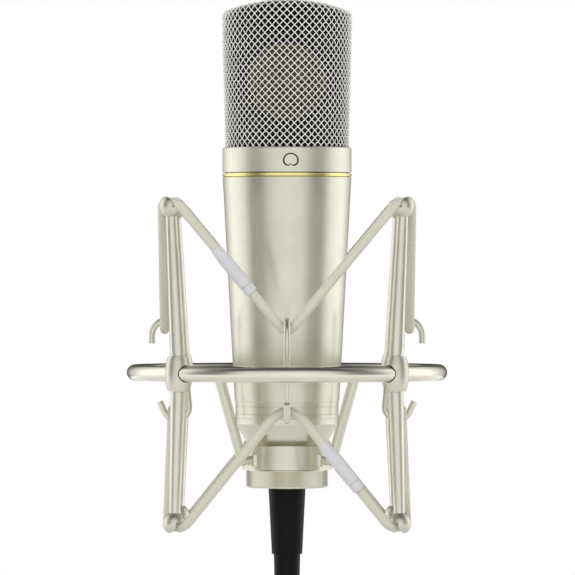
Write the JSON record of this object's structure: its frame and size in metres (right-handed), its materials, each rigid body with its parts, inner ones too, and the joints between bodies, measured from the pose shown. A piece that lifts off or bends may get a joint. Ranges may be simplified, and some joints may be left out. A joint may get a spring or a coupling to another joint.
{
  "type": "condenser microphone",
  "caption": "Side-address condenser microphone, woven grille with a vaulted top over a tapered body, held by elastic cords in a round spider shock mount.",
  "frame": {"origin": "the mouth of the stand socket, on the socket's axis", "axes": "+Z along the microphone towards the grille's crown; -Y is the front, the way the capsule's front diaphragm faces; +Y towards the stand swivel; +X to the right seen from the front"},
  "size_m": [0.141, 0.1745, 0.2882],
  "materials": {
    "satin_nickel": "satin, fine bead blast",
    "grille_mesh": "bright woven wire",
    "gold_trim": "polished gold",
    "raw_brass": "machined",
    "diaphragm_film": "gold-sputtered film",
    "black_plastic": "moulded",
    "board_laminate": "solder-masked laminate",
    "capacitor_case": "moulded and sleeved cases",
    "bright_steel": "plain plated",
    "black_rubber": "matt",
    "polished_nickel": "polished",
    "nickel_rod": "satin nickel plate",
    "elastic_braid": "fine diagonal braid over rubber",
    "sleeve_plastic": "smooth"
  },
  "bodies": {
    "stand_socket": {"stand_yoke": "nickel_rod", "tilt_bolt": "bright_steel", "friction_washers": "black_plastic"},
    "clamp_knob": {"tilt_knob": "black_plastic"},
    "outer_suspension": {"suspension_ring": "polished_nickel", "ring_knuckles": "polished_nickel", "knuckle_screws": "bright_steel", "upper_arms": "nickel_rod", "lower_arms": "nickel_rod", "upper_tips": "polished_nickel", "lower_tips": "polished_nickel", "upper_cord": "elastic_braid", "lower_cord": "elastic_braid", "upper_cord_sleeve": "sleeve_plastic", "lower_cord_sleeve": "sleeve_plastic", "ring_bracket": "nickel_rod", "bracket_cap": "nickel_rod", "bracket_screws": "bright_steel"},
    "cradle": {"cradle_base": "satin_nickel", "isolation_washer": "black_rubber", "cradle_hoop": "nickel_rod", "hook_rods": "nickel_rod", "cradle_struts": "nickel_rod", "strut_screws": "bright_steel"},
    "microphone": {"outer_grille": "grille_mesh", "inner_grille": "grille_mesh", "grille_collar": "satin_nickel", "accent_ring": "gold_trim", "head_plate": "raw_brass", "capsule_body": "raw_brass", "front_diaphragm": "diaphragm_film", "rear_diaphragm": "diaphragm_film", "clamp_rings": "gold_trim", "centre_terminals": "gold_trim", "capsule_saddle": "black_plastic", "capsule_post": "black_plastic", "body_tube": "satin_nickel", "bottom_ring": "satin_nickel", "chassis_rails": "bright_steel", "circuit_board": "board_laminate", "capacitors": "capacitor_case", "transistors": "black_plastic", "output_transformer": "bright_steel", "board_screws": "bright_steel", "tail_cone": "satin_nickel", "connector_insert": "black_plastic", "connector_pins": "gold_trim"},
    "locking_nut": {"lock_ring": "satin_nickel"},
    "cable_plug": {"plug_shell": "bright_steel", "plug_insert": "black_plastic", "plug_contacts": "gold_trim", "strain_relief": "black_rubber", "boot_sleeve": "black_rubber", "cable": "black_rubber"}
  },
  "joints": [
    {"name": "stand_tilt", "type": "hinge", "parent": "stand_socket", "child": "outer_suspension", "pos_m": [0, 0, 0.044], "axis": [1, 0, 0], "range_deg": [-90, 25]},
    {"name": "clamp_knob_turn", "type": "hinge", "parent": "stand_socket", "child": "clamp_knob", "pos_m": [0, 0, 0.044], "axis": [1, 0, 0], "continuous": true},
    {"name": "suspension_bounce", "type": "slide", "parent": "outer_suspension", "child": "cradle", "axis": [0, 0, 1], "range_m": [-0.004, 0.004], "stiffness_N_per_m": 2500, "deforming": ["upper_cord", "lower_cord"]},
    {"name": "microphone_turn", "type": "hinge", "parent": "cradle", "child": "microphone", "pos_m": [0, -0.092, 0.044], "axis": [0, 0, 1], "continuous": true},
    {"name": "lock_ring_turn", "type": "hinge", "parent": "microphone", "child": "locking_nut", "pos_m": [0, -0.092, -0.0027], "axis": [0, 0, 1], "continuous": true},
    {"name": "plug_slide", "type": "slide", "parent": "microphone", "child": "cable_plug", "axis": [0, 0, -1], "range_m": [0, 0.025]}
  ]
}
